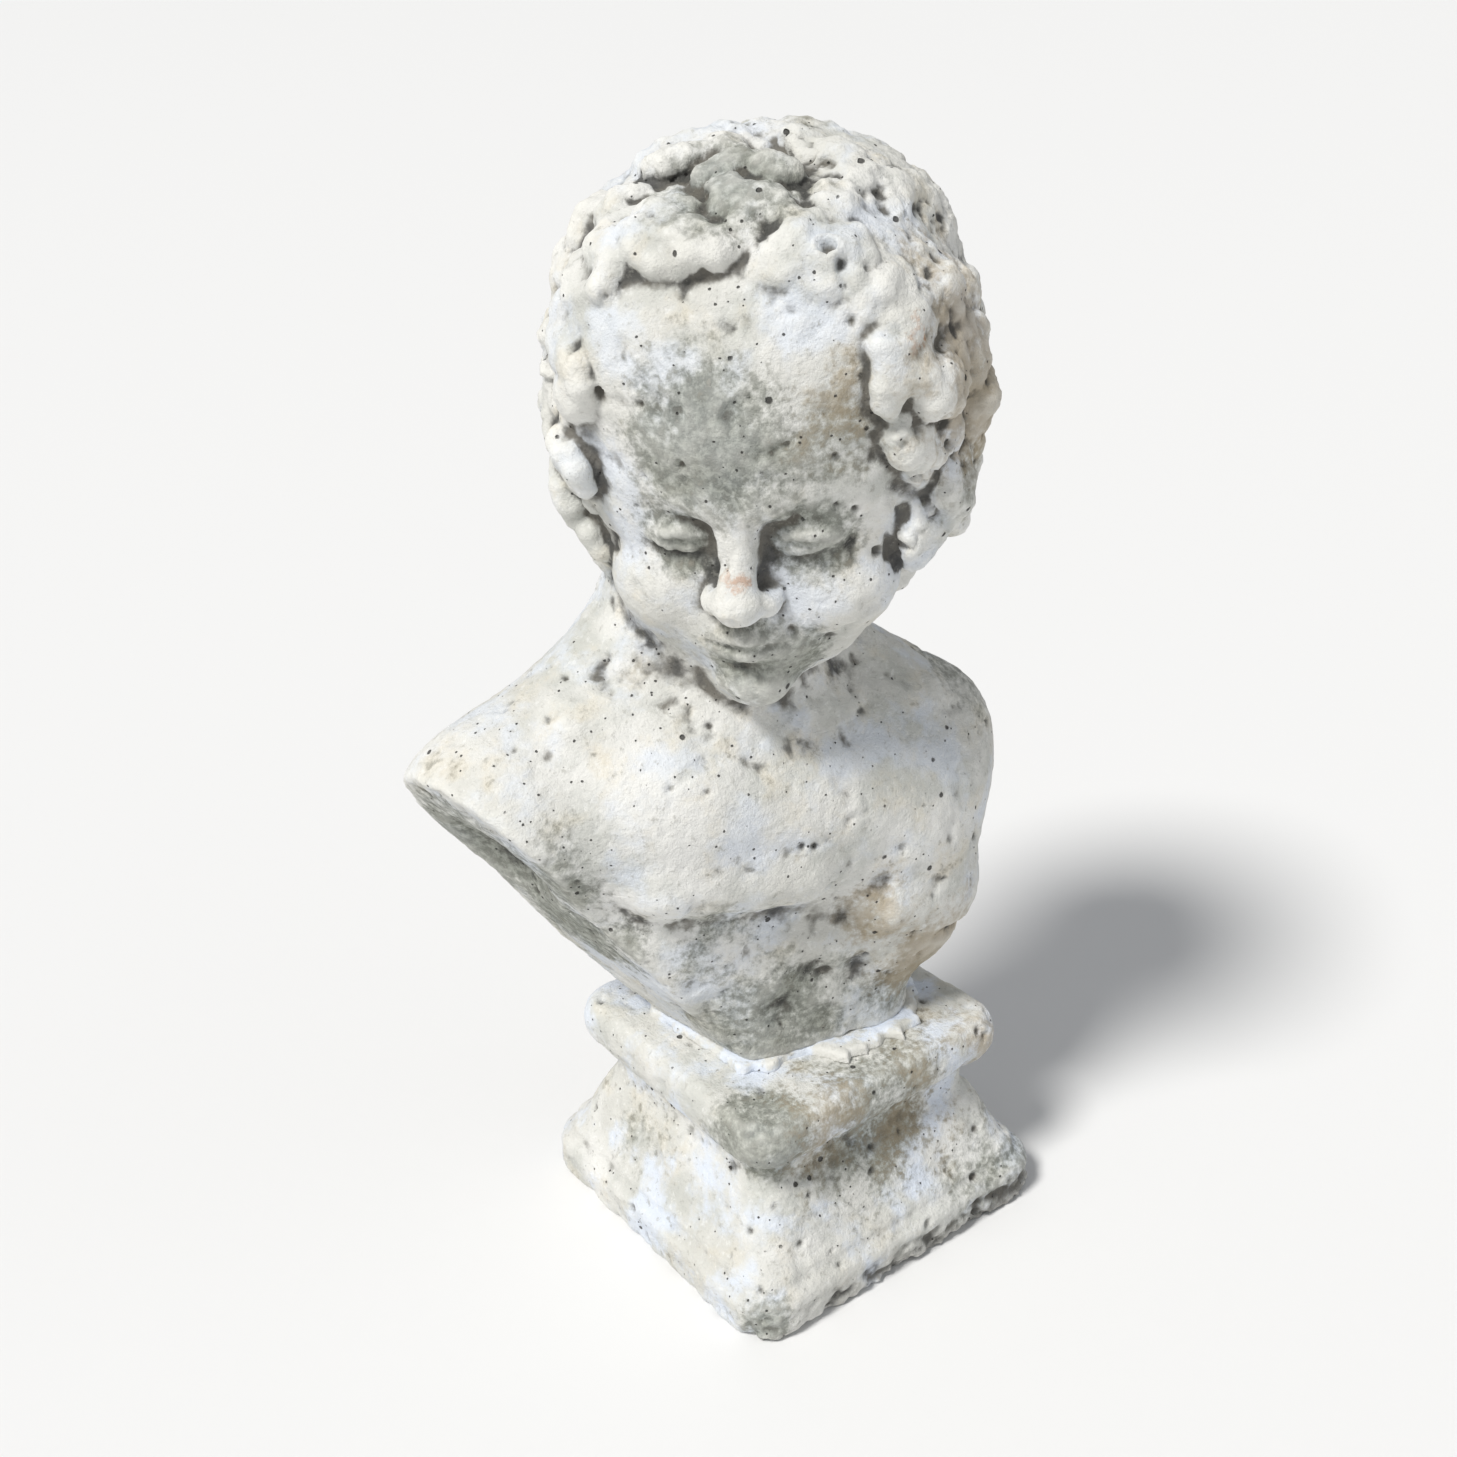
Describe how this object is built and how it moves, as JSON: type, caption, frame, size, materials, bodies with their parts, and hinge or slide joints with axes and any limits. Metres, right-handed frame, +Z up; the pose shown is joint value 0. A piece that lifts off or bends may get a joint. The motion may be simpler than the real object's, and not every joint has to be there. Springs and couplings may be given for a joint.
{
  "type": "garden bust",
  "caption": "Garden bust of a curly-haired child, head bowed and turned, arms cut at the shoulders, on a square moulded plinth.",
  "frame": {"origin": "centre of the plinth's underside", "axes": "+Z up; the plinth's front faces -Y; the figure's own right is towards -X"},
  "size_m": [0.2525, 0.1974, 0.4782],
  "materials": {
    "plinth_stone": "weathered cast stone, pale cream, pitted, dirt in the hollows",
    "bust_stone": "weathered cast stone, pale cream with grey-green and ochre stains, pitted",
    "lime_mortar": "smeared lime mortar, matt",
    "grout": "cement grout, matt",
    "dowel_steel": "plain round steel, dull",
    "bar_steel": "round reinforcing bar, dull, slightly rusted"
  },
  "bodies": {
    "root": {"plinth_casting": "plinth_stone", "bust_casting": "bust_stone", "mortar_joint": "lime_mortar", "dowel_pin": "dowel_steel", "grout_in_plinth": "grout", "grout_in_bust": "grout", "neck_bar": "bar_steel"}
  },
  "joints": []
}
